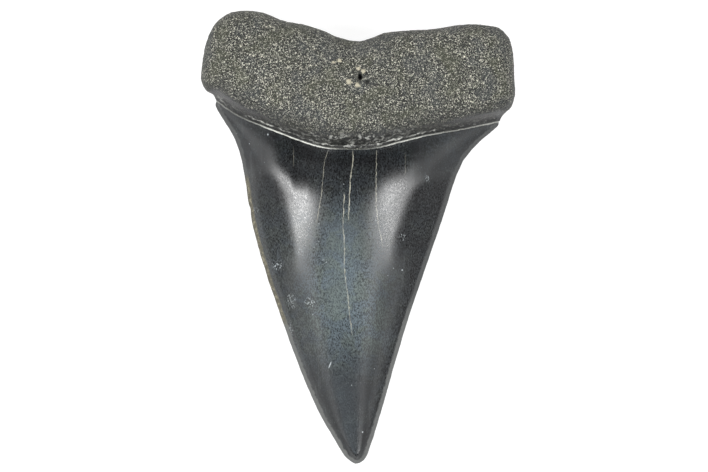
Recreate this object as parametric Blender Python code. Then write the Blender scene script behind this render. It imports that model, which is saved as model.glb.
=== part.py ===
"""Fossil mako shark tooth, lying on its flat labial face with the bulging lingual face up.

The tooth is one solid, because root and crown grew together. The frame is in metres with +Z up. The origin
is under the middle of the tooth, on the surface that it lies on, and +Y runs from the crown's tip to the root.

Two sheets, lingual above and labial below, share one rim: the cutting edges and the root's side walls. Each
sheet has a root patch and a crown patch, which meet along that face's neck line.
"""

import bmesh
import bpy
import numpy as np
from mathutils import Vector, noise

MM = 0.001
# Lengths in metres that count as nothing: the least divisor, and how far apart joined points may lie
TINY, MERGE_DISTANCE = 1e-9, 1e-6

# Plan view, seen from above, in millimetres. The first list runs from the left neck notch up round the
# left lobe, down into the basal notch, over the right lobe and down to the right neck notch.
ROOT_OUTLINE = (
    (-17.05, 16.3), (-17.4, 17.0), (-18.2, 17.5), (-18.8, 18.7), (-18.6, 21.0), (-18.1, 23.4),
    (-17.1, 25.4), (-15.4, 26.7), (-13.2, 27.0), (-11.2, 26.7), (-9.0, 25.8), (-6.4, 25.3),
    (-4.2, 24.6), (-2.3, 23.8), (0.0, 23.35), (1.6, 23.75), (3.0, 24.3), (5.5, 24.6), (9.0, 24.8),
    (12.2, 25.3), (14.8, 25.3), (16.9, 24.85), (18.0, 23.7), (18.5, 21.8), (18.65, 19.0),
    (18.75, 17.0), (18.3, 15.5), (17.4, 14.6), (16.9, 13.8),
)
# The lobes' outer corners, by their number in the list. The basal margin runs between them.
LEFT_CORNER, RIGHT_CORNER = 6, 21
# The crown's rim runs from the left neck notch down to the tip and up to the right neck notch.
CROWN_OUTLINE = (
    (-17.05, 16.3), (-17.15, 15.75), (-16.55, 14.6), (-15.05, 12.1), (-14.25, 10.0), (-13.75, 7.6),
    (-12.85, 2.0), (-11.3, -3.8), (-9.35, -9.5), (-7.25, -15.3), (-4.75, -21.1), (-2.8, -24.5),
    (-1.4, -26.65), (-0.25, -27.35), (0.75, -26.8), (1.45, -25.2), (2.75, -21.1), (4.4, -15.3),
    (6.15, -9.5), (8.1, -3.8), (10.1, 2.0), (11.9, 7.5), (12.9, 9.5), (14.55, 11.35), (16.35, 12.9),
    (16.85, 13.4), (16.9, 13.8),
)
TIP = 13
# Where the enamel ends on each face. The root bulges down over the crown on the lingual face only.
LINGUAL_NECK = (
    (-17.05, 16.3), (-14.8, 14.7), (-12.4, 13.6), (-9.6, 12.5), (-7.0, 11.5), (-4.2, 10.65),
    (-1.0, 10.4), (2.0, 10.55), (5.0, 11.3), (8.4, 12.15), (12.4, 12.85), (16.9, 13.8),
)
LABIAL_NECK = (
    (-17.05, 16.3), (-14.5, 14.9), (-11.0, 14.6), (-6.0, 15.4), (-0.4, 16.0), (5.0, 15.2),
    (10.5, 13.7), (14.2, 13.1), (16.9, 13.8),
)
SAMPLES_PER_SPAN = 10

# Height of the rim over the resting face, against the station: 0 is the root's basal margin, 1 the neck
# and 2 the tip.
RIM_STATIONS = (0.0, 0.55, 0.85, 1.0, 1.12, 1.5, 2.0)
RIM_HEIGHTS = (4.9, 4.7, 3.4, 2.4, 1.6, 1.45, 1.65)

# Lingual face of the root
ROOT_HEIGHT = 8.6
ROOT_ROUNDING = 3.0
ROOT_ROUNDNESS = 2.2
TORUS_RISE, TORUS_AT, TORUS_REACH = 1.9, (0.3, 15.6), (15.0, 8.0)
TORUS_DROP, TORUS_DROP_WIDTH = 1.5, 3.2
LOBE_RISE, LOBE_REACH = 0.45, (6.5, 5.5)
LEFT_LOBE_AT, RIGHT_LOBE_AT = (-12.6, 21.0), (12.8, 20.0)
NOTCH_DROP, NOTCH_AT, NOTCH_REACH = 1.3, (0.0, 23.6), (5.5, 4.6)

# Nutrient foramen: a shallow basin with a small pit in it
BASIN_DROP, BASIN_AT, BASIN_REACH = 0.35, (-0.4, 19.0), (3.6, 2.6)
FORAMEN_DROP, FORAMEN_AT, FORAMEN_REACH = 0.8, (0.35, 18.8), (1.1, 1.1)

# Neck band between root and enamel. The crown sinks towards it by a share of its height, most at the sides.
LEDGE_START, LEDGE_END = 0.45, 1.25
NECK_GROOVE, GROOVE_AT, GROOVE_WIDTH = 0.18, 0.35, 0.4
ENAMEL_LIP, LIP_WIDTH = 0.16, 0.3
HOLLOW_MIDDLE_SHARE, HOLLOW_SIDE_SHARE = 0.12, 0.5
HOLLOW_SIDES_FROM, HOLLOW_SIDES_TO = 2.0, 8.0
HOLLOW_ON_CROWN, HOLLOW_ON_ROOT = 6.5, 1.0
NECK_FADE = 1.2

# Lingual face of the crown: height of its middle over the rim, against the share of its length
CROWN_SHARES = (0.0, 0.06, 0.14, 0.22, 0.3, 0.4, 0.5, 0.6, 0.7, 0.85, 0.95, 1.0)
CROWN_RISES = (4.4, 5.3, 6.05, 6.0, 5.4, 4.4, 3.55, 3.05, 2.6, 1.8, 1.35, 1.15)
# Across the blade, a low arched panel turns into steeper flanks. A turn is its place from the middle at 0 to
# the bevel at 1, and a step is how much of the flank's slope starts there.
TURN_SHARES = (0.0, 0.06, 0.16, 0.3, 0.5, 1.0)
LEFT_TURNS = (0.94, 0.9, 0.6, 0.44, 0.46, 0.44)
RIGHT_TURNS = (0.92, 0.82, 0.6, 0.46, 0.46, 0.42)
TURN_STEPS = (0.35, 0.35, 0.38, 0.55, 0.68, 0.74)
TURN_WIDTH = 0.25
# Narrow bevel along each cutting edge, which never takes more than this share of half the blade
BEVEL_WIDTH, BEVEL_SLOPE = 0.5, 1.3
BEVEL_SHARE = 0.25
RIDGE_SOFTNESS = 0.05
# Shallow fold down the left of the blade
FOLD_DROP, FOLD_AT, FOLD_REACH = 0.13, (-7.0, 8.0), (1.3, 4.4)

# Labial face: flat where the tooth lies on it
LABIAL_EDGE_REACH = 3.0
LABIAL_ROUNDING = 3.6
LABIAL_BLEND = 0.5
LABIAL_STEP, LABIAL_STEP_WIDTH = 0.35, 2.4
LABIAL_NOTCH_RISE, LABIAL_NOTCH_REACH = 0.9, (7.0, 5.5)

# Low relief of the root's bone
RELIEF, RELIEF_SIZE, RELIEF_OCTAVES = 0.12, 2.1, 3

# Mesh density
RIM_COLUMNS = (0.0, 0.2, 0.5)
INNER_COLUMNS = 17
COLUMN_GATHERING = 1.35
ROOT_ROWS, ROOT_GATHERING = 18, 1.0
CROWN_ROWS, CROWN_GATHERING = 31, 0.5

FOSSIL_COLOUR = (0.135, 0.137, 0.118, 1.0)
FOSSIL_ROUGHNESS = 0.55


def smooth_path(points):
    """A dense polyline in metres on a cubic curve through the points, with SAMPLES_PER_SPAN steps a span."""
    p = np.array(points) * MM
    knots = np.concatenate([[0.0], np.cumsum(np.linalg.norm(np.diff(p, axis=0), axis=1) ** 0.5)])
    slopes = np.gradient(p, knots, axis=0)
    path = []
    for i in range(len(p) - 1):
        span = knots[i + 1] - knots[i]
        t = np.arange(SAMPLES_PER_SPAN)[:, None] / SAMPLES_PER_SPAN
        path.append(
            (2 * t**3 - 3 * t**2 + 1) * p[i]
            + (t**3 - 2 * t**2 + t) * span * slopes[i]
            + (3 * t**2 - 2 * t**3) * p[i + 1]
            + (t**3 - t**2) * span * slopes[i + 1]
        )
    return np.vstack([*path, p[-1:]])


def along(path, share):
    """The points at these shares of a path's length."""
    lengths = np.concatenate([[0.0], np.cumsum(np.linalg.norm(np.diff(path, axis=0), axis=1))])
    at = np.asarray(share) * lengths[-1]
    return np.stack([np.interp(at, lengths, path[:, 0]), np.interp(at, lengths, path[:, 1])], -1)


def distance_to(path, xy):
    """How far each point is from a path."""
    start, step = path[:-1], np.diff(path, axis=0)
    squares = np.maximum((step**2).sum(1), 1e-18)
    found = np.empty(len(xy))
    for i, p in enumerate(xy):
        t = np.clip(((p - start) * step).sum(1) / squares, 0, 1)
        found[i] = np.sqrt((((start + t[:, None] * step) - p) ** 2).sum(1).min())
    return found


def smooth_step(low, high, x):
    """0 below low, 1 above high, and an S curve between them."""
    t = np.clip((x - low) / (high - low), 0, 1)
    return t * t * (3 - 2 * t)


def mound(xy, at, reach):
    """A smooth hump of height 1 over the ellipse with this middle and these half-widths, in millimetres."""
    r2 = (((xy / MM - np.array(at)) / np.array(reach)) ** 2).sum(1)
    return np.clip(1 - r2, 0, 1) ** 2


def eased(x, stations, values):
    """Values between stations on a smooth curve."""
    slopes = np.gradient(np.array(values), np.array(stations))
    i = np.clip(np.searchsorted(stations, x) - 1, 0, len(stations) - 2)
    a, b = np.array(stations)[i], np.array(stations)[i + 1]
    low, high = np.array(values)[i], np.array(values)[i + 1]
    t, span = (x - a) / (b - a), b - a
    return (
        (2 * t**3 - 3 * t**2 + 1) * low
        + (t**3 - 2 * t**2 + t) * span * slopes[i]
        + (3 * t**2 - 2 * t**3) * high
        + (t**3 - t**2) * span * slopes[i + 1]
    )


ROOT_RIM = smooth_path(ROOT_OUTLINE)
CROWN_RIM = smooth_path(CROWN_OUTLINE)
# The middle of the plan's bounding box goes to the origin.
EVERY_RIM_POINT = np.vstack([ROOT_RIM, CROWN_RIM])
MIDDLE = (EVERY_RIM_POINT.min(0) + EVERY_RIM_POINT.max(0)) / 2
LEFT_AT, RIGHT_AT, TIP_AT = (k * SAMPLES_PER_SPAN for k in (LEFT_CORNER, RIGHT_CORNER, TIP))
BASAL_MARGIN = ROOT_RIM[LEFT_AT : RIGHT_AT + 1]
ROOT_SIDES = (ROOT_RIM[LEFT_AT::-1], ROOT_RIM[RIGHT_AT:])
CROWN_SIDES = (CROWN_RIM[: TIP_AT + 1], CROWN_RIM[: TIP_AT - 1 : -1])
OUTLINE = np.vstack([ROOT_RIM[::-1], CROWN_RIM])


def patch_points(share_across, share_along, sides, far, near):
    """Points of a patch between two side paths, from the far path at 0 along to the near one at 1.

    near is None where the patch closes to the tip.
    """
    left, right = along(sides[0], share_along), along(sides[1], share_along)
    s, w = share_across[:, None], share_along[:, None]
    chord = (1 - s) * left + s * right
    bow_far = along(far, share_across) - ((1 - s) * far[0] + s * far[-1])
    bow_near = 0.0 if near is None else along(near, share_across) - ((1 - s) * near[0] + s * near[-1])
    return chord + (1 - w) * bow_far + w * bow_near


def dome(depth, reach, roundness):
    """0 at the rim and 1 from reach inwards, rising as a rounded edge does."""
    t = np.clip(depth / reach, 0, 1)
    return (1 - (1 - t) ** roundness) ** (1 / roundness)


def relief(xy, seed):
    """Fractal relief between about -1 and 1."""
    return np.array([
        noise.fractal(Vector((x, y, seed * MM)) / (RELIEF_SIZE * MM), 1.0, 2.0, RELIEF_OCTAVES)
        for x, y in xy
    ])


def fallen(across, turn, step):
    """How far the crown has fallen from its middle at this place across, before it is scaled to its height."""
    arch = np.minimum(across, turn) ** 2 / (2 * turn) + np.maximum(across - turn, 0)
    u = np.clip((across - turn) / TURN_WIDTH, 0, 1)
    flank = TURN_WIDTH * (u**3 - u**4 / 2) + np.maximum(across - turn - TURN_WIDTH, 0)
    return (1 - step) * arch + step * flank


def crown_section(across, share):
    """1 in the crown's middle and 0 at its bevels."""
    left, right = eased(share, TURN_SHARES, LEFT_TURNS), eased(share, TURN_SHARES, RIGHT_TURNS)
    turn = np.where(across < 0, left, right)
    step = eased(share, TURN_SHARES, TURN_STEPS)
    return 1 - fallen(np.abs(across), turn, step) / fallen(np.ones_like(turn), turn, step)


def hollow_at(xy, past_neck):
    """The share of its height that the crown loses towards the neck."""
    past = past_neck / MM
    sides = smooth_step(HOLLOW_SIDES_FROM, HOLLOW_SIDES_TO, np.abs(xy[:, 0]) / MM)
    share = HOLLOW_MIDDLE_SHARE + (HOLLOW_SIDE_SHARE - HOLLOW_MIDDLE_SHARE) * sides
    reach = np.where(past < 0, HOLLOW_ON_CROWN, HOLLOW_ON_ROOT)
    return share * (1 - np.clip(np.abs(past) / reach, 0, 1)) ** 2


def crown_over_rim(xy, across, share, depth, half, past_neck):
    """Height of the crown over its cutting edge, where half is half the blade's width."""
    bevel_width = np.minimum(BEVEL_WIDTH * MM, BEVEL_SHARE * half)
    bevel_height = BEVEL_SLOPE * bevel_width
    between = np.clip(across / (1 - bevel_width / np.maximum(half, TINY)), -1, 1)
    middle = MM * eased(share, CROWN_SHARES, CROWN_RISES)
    lens = bevel_height + (middle - bevel_height) * crown_section(between, share)
    lens -= FOLD_DROP * MM * mound(xy, FOLD_AT, FOLD_REACH)
    lens *= 1 - hollow_at(xy, past_neck)
    bevel = BEVEL_SLOPE * depth
    over = 0.5 * (lens + bevel - np.sqrt((lens - bevel) ** 2 + (RIDGE_SOFTNESS * MM) ** 2))
    return np.where(depth <= 0, 0.0, np.maximum(over, 0.0))


def neck_line(past_neck):
    """Height across the neck line: the enamel's lip, less the groove beside it."""
    past = past_neck / MM
    lip = ENAMEL_LIP * np.exp(-((past / LIP_WIDTH) ** 2))
    groove = NECK_GROOVE * np.exp(-(((past - GROOVE_AT) / GROOVE_WIDTH) ** 2))
    return MM * (lip - groove)


def lingual_height(xy, across, station, depth, half, past_neck):
    """Height of the upper sheet. depth is the way in from the rim, past_neck is positive on the root."""
    rim = MM * eased(station, RIM_STATIONS, RIM_HEIGHTS)

    top = ROOT_HEIGHT * MM + RELIEF * MM * relief(xy, 1)
    top += TORUS_RISE * MM * mound(xy, TORUS_AT, TORUS_REACH)
    top += LOBE_RISE * MM * (mound(xy, LEFT_LOBE_AT, LOBE_REACH) + mound(xy, RIGHT_LOBE_AT, LOBE_REACH))
    top -= NOTCH_DROP * MM * mound(xy, NOTCH_AT, NOTCH_REACH)
    top -= BASIN_DROP * MM * mound(xy, BASIN_AT, BASIN_REACH)
    top -= FORAMEN_DROP * MM * mound(xy, FORAMEN_AT, FORAMEN_REACH)
    top -= TORUS_DROP * MM * (1 - np.clip(past_neck / (TORUS_DROP_WIDTH * MM), 0, 1)) ** 2
    root = rim + (top - rim) * dome(depth, ROOT_ROUNDING * MM, ROOT_ROUNDNESS)

    crown = rim + crown_over_rim(xy, across, np.clip(station - 1, 0, 1), depth, half, past_neck)

    on_root = smooth_step(LEDGE_START * MM, LEDGE_END * MM, past_neck)
    inside = smooth_step(0, NECK_FADE * MM, depth)
    return on_root * root + (1 - on_root) * crown + inside * neck_line(past_neck)


def labial_height(xy, station, depth, past_neck):
    """Height of the lower sheet. It is 0 where the tooth lies on its crown and on its lobes."""
    rim = MM * eased(station, RIM_STATIONS, RIM_HEIGHTS)
    crown = rim * (1 - np.clip(depth / (LABIAL_EDGE_REACH * MM), 0, 1)) ** 2
    root = rim * (1 - dome(depth, LABIAL_ROUNDING * MM, ROOT_ROUNDNESS))
    on_root = smooth_step(0.0, LABIAL_BLEND * MM, past_neck)
    inside = smooth_step(0, NECK_FADE * MM, depth)
    step = LABIAL_STEP * MM * (1 - np.clip(past_neck / (LABIAL_STEP_WIDTH * MM), 0, 1)) ** 2
    step += LABIAL_NOTCH_RISE * MM * mound(xy, NOTCH_AT, LABIAL_NOTCH_REACH)
    return on_root * (root + inside * step) + (1 - on_root) * crown


def columns_of(width):
    """Shares across a row of this width: rim, bevel and ridge at real distances, then gathered columns."""
    half = width / 2
    bevel = min(BEVEL_WIDTH * MM, BEVEL_SHARE * half)
    inner = (np.arange(INNER_COLUMNS + 1) / INNER_COLUMNS) ** COLUMN_GATHERING
    steps = np.concatenate([np.array(RIM_COLUMNS) * bevel, bevel + (half - bevel) * inner])
    shares = steps / max(width, TINY)
    return np.concatenate([shares, 1 - shares[-2::-1]])


def rows_of(count, gathering):
    """Shares along a patch, evenly spread at a gathering of 0 and close together at both ends at 1."""
    t = np.arange(count + 1) / count
    return (1 - gathering) * t + gathering * (0.5 - 0.5 * np.cos(np.pi * t))


def sheet(neck, lingual):
    """A grid of points, rows by columns, for one face."""
    grid = []
    root_rows, crown_rows = rows_of(ROOT_ROWS, ROOT_GATHERING), rows_of(CROWN_ROWS, CROWN_GATHERING)
    for on_root, rows in ((True, root_rows), (False, crown_rows[1:])):
        sides = ROOT_SIDES if on_root else CROWN_SIDES
        for w in rows:
            ends = [along(side, w) for side in sides]
            across = columns_of(np.linalg.norm(ends[1] - ends[0]))
            far, near = (BASAL_MARGIN, neck) if on_root else (neck, None)
            xy = patch_points(across, np.full(len(across), w), sides, far, near)
            depth = distance_to(OUTLINE, xy)
            depth[[0, -1]] = 0
            if on_root and w == 0 or not on_root and w == 1:
                depth[:] = 0
            past_neck = distance_to(neck, xy) * (1 if on_root else -1)
            station = np.full(len(across), w if on_root else 1 + w)
            if lingual:
                half = np.full(len(across), np.linalg.norm(xy[-1] - xy[0]) / 2)
                z = lingual_height(xy, 2 * across - 1, station, depth, half, past_neck)
            else:
                z = labial_height(xy, station, depth, past_neck)
            grid.append(np.column_stack([xy - MIDDLE, z]))
    return grid


def add_sheet(mesh, grid, face_up):
    """Adds a grid of points to the mesh as four-sided faces."""
    rows = [[mesh.verts.new(p) for p in row] for row in grid]
    for upper, lower in zip(rows, rows[1:]):
        for k in range(len(upper) - 1):
            corners = [upper[k], lower[k], lower[k + 1], upper[k + 1]]
            mesh.faces.new(corners if face_up else corners[::-1])


def tooth():
    """The whole tooth as one closed solid."""
    mesh = bmesh.new()
    add_sheet(mesh, sheet(smooth_path(LINGUAL_NECK), lingual=True), face_up=True)
    add_sheet(mesh, sheet(smooth_path(LABIAL_NECK), lingual=False), face_up=False)
    bmesh.ops.remove_doubles(mesh, verts=mesh.verts, dist=MERGE_DISTANCE)
    bmesh.ops.triangulate(mesh, faces=mesh.faces)
    data = bpy.data.meshes.new("tooth")
    mesh.to_mesh(data)
    mesh.free()
    data.shade_smooth()
    obj = bpy.data.objects.new("tooth", data)
    bpy.context.scene.collection.objects.link(obj)
    return obj


def fossil_material():
    """Dark grey phosphate: dull on the root, and close to the mean of root and enamel."""
    material = bpy.data.materials.new("fossil")
    material.use_nodes = True
    shader = material.node_tree.nodes["Principled BSDF"]
    shader.inputs["Base Color"].default_value = FOSSIL_COLOUR
    shader.inputs["Roughness"].default_value = FOSSIL_ROUGHNESS
    shader.inputs["Metallic"].default_value = 0.0
    return material


for old in list(bpy.data.objects):
    bpy.data.objects.remove(old)
tooth().data.materials.append(fossil_material())
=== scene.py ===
"""Dresses the fossil mako shark tooth, which lies on its labial face and is seen from straight above.

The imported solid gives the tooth's place and size. One fine mesh of the same form replaces it and carries what
the solid is too coarse for: the root's crumbly bone, the torn band at the neck, the enamel's lip and the
chipped cutting edges. Root and crown grew as one piece, so they stay one piece here.
"""

import logging
import math
from dataclasses import dataclass, field
from enum import Enum

import bpy
import numpy as np
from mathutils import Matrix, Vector, noise


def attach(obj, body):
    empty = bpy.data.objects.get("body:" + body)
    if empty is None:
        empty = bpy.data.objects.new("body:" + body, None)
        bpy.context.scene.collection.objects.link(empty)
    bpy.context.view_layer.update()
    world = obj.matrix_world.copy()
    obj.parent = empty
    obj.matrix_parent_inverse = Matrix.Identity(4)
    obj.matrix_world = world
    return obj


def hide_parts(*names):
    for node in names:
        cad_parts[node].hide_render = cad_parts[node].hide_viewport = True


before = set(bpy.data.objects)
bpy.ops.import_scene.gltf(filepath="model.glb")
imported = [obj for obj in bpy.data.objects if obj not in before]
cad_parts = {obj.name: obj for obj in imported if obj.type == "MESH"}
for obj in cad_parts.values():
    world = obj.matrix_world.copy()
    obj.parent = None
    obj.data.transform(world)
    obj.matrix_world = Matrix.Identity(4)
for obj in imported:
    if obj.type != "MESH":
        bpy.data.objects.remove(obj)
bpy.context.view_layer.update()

MM = 0.001
TOOTH_NODE = "tooth"
TINY = 1e-9

log = logging.getLogger("tooth")

Place = tuple[float, float]
Points = tuple[Place, ...]
Colour = tuple[float, float, float]
Number = float | np.ndarray
Socket = bpy.types.NodeSocket
Value = Socket | float | tuple


def hermite(t: np.ndarray, low: Number, high: Number, low_slope: Number, high_slope: Number) -> np.ndarray:
    """A cubic between two values.

    Args:
        t: Way along the span, 0 to 1.
        low: Value at 0.
        high: Value at 1.
        low_slope: Slope at 0, times the span.
        high_slope: Slope at 1, times the span.

    Returns:
        The values at t.
    """
    return (
        (2 * t**3 - 3 * t**2 + 1) * low
        + (t**3 - 2 * t**2 + t) * low_slope
        + (3 * t**2 - 2 * t**3) * high
        + (t**3 - t**2) * high_slope
    )


def smooth_step(low: float, high: float, x: np.ndarray) -> np.ndarray:
    """0 below low, 1 above high, and an S curve between them."""
    t = np.clip((x - low) / (high - low), 0, 1)
    return t * t * (3 - 2 * t)


def bell(x: np.ndarray, middle: float, width: float) -> np.ndarray:
    """A smooth bump of height 1 round the middle."""
    return np.exp(-(((x - middle) / width) ** 2))


def mound(xy: np.ndarray, at: Place, reach: Place) -> np.ndarray:
    """A smooth hump of height 1 over an ellipse.

    Args:
        xy: Points in metres.
        at: The ellipse's middle in millimetres.
        reach: Its half-widths in millimetres.

    Returns:
        The hump's height at each point.
    """
    r2 = (((xy / MM - np.array(at)) / np.array(reach)) ** 2).sum(1)
    return np.clip(1 - r2, 0, 1) ** 2


def eased(x: np.ndarray, stations: tuple, values: tuple) -> np.ndarray:
    """Values between stations on a smooth curve.

    Args:
        x: Where to read the curve.
        stations: Where the values are given.
        values: The values there.

    Returns:
        The curve's values at x.
    """
    stations, values = np.array(stations), np.array(values)
    slopes = np.gradient(values, stations)
    i = np.clip(np.searchsorted(stations, x) - 1, 0, len(stations) - 2)
    span = stations[i + 1] - stations[i]
    t = (x - stations[i]) / span
    return hermite(t, values[i], values[i + 1], span * slopes[i], span * slopes[i + 1])


def fractal(xyz: np.ndarray, size: float, octaves: int, seed: float) -> np.ndarray:
    """Fractal noise between about -1 and 1.

    Args:
        xyz: Points in metres.
        size: Size of the largest lumps in millimetres.
        octaves: Number of finer layers.
        seed: Offset that picks another pattern.

    Returns:
        The noise at each point.
    """
    away = Vector((seed, -seed, 2 * seed))
    scale = 1 / (size * MM)
    return np.array([noise.fractal(Vector(p) * scale + away, 1.0, 2.0, octaves) for p in xyz.tolist()])


@dataclass(frozen=True)
class PlanCurve:
    """A smooth curve in the plan view, through points in millimetres."""

    points: Points
    steps: int = 10

    def path(self) -> np.ndarray:
        """Follows the curve.

        Returns:
            A dense polyline along it, in metres.
        """
        p = np.array(self.points) * MM
        knots = np.concatenate([[0.0], np.cumsum(np.linalg.norm(np.diff(p, axis=0), axis=1) ** 0.5)])
        slopes = np.gradient(p, knots, axis=0)
        t = np.arange(self.steps)[:, None] / self.steps
        path = []
        for i in range(len(p) - 1):
            span = knots[i + 1] - knots[i]
            path.append(hermite(t, p[i], p[i + 1], span * slopes[i], span * slopes[i + 1]))
        return np.vstack([*path, p[-1:]])


def along(path: np.ndarray, share: np.ndarray) -> np.ndarray:
    """Finds points on a path.

    Args:
        path: Polyline in metres.
        share: Shares of the path's length.

    Returns:
        The points at these shares.
    """
    lengths = np.concatenate([[0.0], np.cumsum(np.linalg.norm(np.diff(path, axis=0), axis=1))])
    at = np.asarray(share) * lengths[-1]
    return np.stack([np.interp(at, lengths, path[:, 0]), np.interp(at, lengths, path[:, 1])], -1)


def distance_to(path: np.ndarray, xy: np.ndarray, chunk: int = 2048) -> np.ndarray:
    """How far each point is from a path.

    Args:
        path: Polyline in metres.
        xy: Points in metres.
        chunk: How many points are worked out at a time.

    Returns:
        A distance for each point, in metres.
    """
    start, step = path[:-1], np.diff(path, axis=0)
    squares = np.maximum((step**2).sum(1), TINY**2)
    found = np.empty(len(xy))
    for k in range(0, len(xy), chunk):
        off = xy[k : k + chunk, None, :] - start
        t = np.clip((off * step).sum(2) / squares, 0, 1)
        found[k : k + chunk] = np.sqrt(((off - t[..., None] * step) ** 2).sum(2).min(1))
    return found


@dataclass
class ToothPlan:
    """The tooth's outlines seen from above, in millimetres, with the tip towards -Y.

    The root's outline runs from the left neck notch over both lobes to the right neck notch, and the crown's
    from the left neck notch round the tip to the right one.
    """

    root: Points = (
        (-17.05, 16.3), (-17.4, 17.0), (-18.2, 17.5), (-18.8, 18.7), (-18.6, 21.0), (-18.1, 23.4),
        (-17.1, 25.4), (-15.4, 26.7), (-13.2, 27.0), (-11.2, 26.7), (-9.0, 25.8), (-6.4, 25.3),
        (-4.2, 24.6), (-2.3, 23.8), (0.0, 23.35), (1.6, 23.75), (3.0, 24.3), (5.5, 24.6), (9.0, 24.8),
        (12.2, 25.3), (14.8, 25.3), (16.9, 24.85), (18.0, 23.7), (18.5, 21.8), (18.65, 19.0),
        (18.75, 17.0), (18.3, 15.5), (17.4, 14.6), (16.9, 13.8),
    )
    crown: Points = (
        (-17.05, 16.3), (-17.15, 15.75), (-16.55, 14.6), (-15.05, 12.1), (-14.25, 10.0), (-13.75, 7.6),
        (-12.85, 2.0), (-11.3, -3.8), (-9.35, -9.5), (-7.25, -15.3), (-4.75, -21.1), (-2.8, -24.5),
        (-1.4, -26.65), (-0.25, -27.35), (0.75, -26.8), (1.45, -25.2), (2.75, -21.1), (4.4, -15.3),
        (6.15, -9.5), (8.1, -3.8), (10.1, 2.0), (11.9, 7.5), (12.9, 9.5), (14.55, 11.35), (16.35, 12.9),
        (16.85, 13.4), (16.9, 13.8),
    )
    lingual_neck: Points = (
        (-17.05, 16.3), (-14.8, 14.7), (-12.4, 13.6), (-9.6, 12.5), (-7.0, 11.5), (-4.2, 10.65),
        (-1.0, 10.4), (2.0, 10.55), (5.0, 11.3), (8.4, 12.15), (12.4, 12.85), (16.9, 13.8),
    )
    labial_neck: Points = (
        (-17.05, 16.3), (-14.5, 14.9), (-11.0, 14.6), (-6.0, 15.4), (-0.4, 16.0), (5.0, 15.2),
        (10.5, 13.7), (14.2, 13.1), (16.9, 13.8),
    )
    left_corner: int = 6
    right_corner: int = 21
    tip: int = 13

    def __post_init__(self) -> None:
        """Works out the paths that the sheets are built between."""
        root, crown = PlanCurve(self.root), PlanCurve(self.crown)
        rim, edge = root.path(), crown.path()
        left, right, tip = (k * root.steps for k in (self.left_corner, self.right_corner, self.tip))
        self.basal_margin = rim[left : right + 1]
        self.root_sides = (rim[left::-1], rim[right:])
        self.crown_sides = (edge[: tip + 1], edge[: tip - 1 : -1])
        self.outline = np.vstack([rim[::-1], edge])
        both = np.vstack([rim, edge])
        self.middle = (both.min(0) + both.max(0)) / 2


@dataclass
class Spots:
    """What the forms read at each point of a face, with lengths in metres.

    across runs from -1 to 1 over the row. station is 0 at the basal margin, 1 at the neck and 2 at the tip.
    half is half the row's width, depth the way in from the rim, past_neck the way from the neck line, which
    is negative on the crown, and rim the height of the rim.
    """

    xy: np.ndarray
    across: np.ndarray
    station: np.ndarray
    half: np.ndarray
    depth: np.ndarray
    past_neck: np.ndarray
    rim: np.ndarray


@dataclass(frozen=True)
class RootForm:
    """The lingual face of the root: a thick bolster with two lobes, a basal notch and a nutrient pit."""

    height: float = 8.6
    rounding: float = 3.0
    roundness: float = 2.2
    torus: tuple = (1.9, (0.3, 15.6), (15.0, 8.0))
    torus_drop: float = 1.5
    torus_drop_width: float = 3.2
    lobes: tuple = ((0.45, (-12.6, 21.0), (6.5, 5.5)), (0.45, (12.8, 20.0), (6.5, 5.5)))
    notch: tuple = (1.3, (0.0, 23.6), (5.5, 4.6))
    basin: tuple = (0.35, (-0.4, 19.0), (3.6, 2.6))
    pits: tuple = ((1.1, (0.2, 18.9), (0.42, 0.6)), (0.5, (1.06, 18.33), (0.4, 0.4)))
    crumbs: tuple = (
        (0.34, (-1.12, 18.33), (0.5, 0.55)),
        (0.26, (0.6, 19.58), (0.4, 0.4)),
        (0.26, (0.0, 19.93), (0.38, 0.34)),
        (0.26, (-0.12, 17.92), (0.5, 0.42)),
        (0.24, (-2.25, 20.88), (0.5, 0.34)),
        (0.18, (-2.96, 20.64), (0.34, 0.3)),
    )
    ridges: tuple = ((0.14, (-0.9, 19.7), (0.8, 0.26)), (0.14, (1.4, 17.75), (0.8, 0.26)))
    relief: tuple = (0.12, 2.1, 3)
    crumb_spread: float = 1.15
    pit_spread: float = 1.2

    def dome(self, depth: np.ndarray, reach: float) -> np.ndarray:
        """0 at the rim and 1 from reach inwards, rising as a rounded edge does."""
        t = np.clip(depth / (reach * MM), 0, 1)
        return (1 - (1 - t) ** self.roundness) ** (1 / self.roundness)

    def top(self, xy: np.ndarray, past_neck: np.ndarray) -> np.ndarray:
        """Height of the root's upper face away from its rim.

        Args:
            xy: Points in metres.
            past_neck: How far each point is past the neck line, in metres.

        Returns:
            The height at each point, in metres.
        """
        flat = np.column_stack([xy, np.full(len(xy), MM)])
        rise, size, octaves = self.relief
        top = self.height * MM + rise * MM * fractal(flat, size, octaves, 0.0)
        for rise, at, reach in (self.torus, *self.lobes, *self.crumbs, *self.ridges):
            top += rise * MM * mound(xy, at, reach)
        for drop, at, reach in (self.notch, self.basin, *self.pits):
            top -= drop * MM * mound(xy, at, reach)
        near = 1 - np.clip(past_neck / (self.torus_drop_width * MM), 0, 1)
        return top - self.torus_drop * MM * near**2

    def cover(self, xy: np.ndarray, marks: tuple, spread: float) -> np.ndarray:
        """1 in the middle of each of these pits or crumbs, widened by spread, and 0 away from them."""
        return np.max([mound(xy, at, (spread * rx, spread * ry)) for _, at, (rx, ry) in marks], axis=0)


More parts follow.
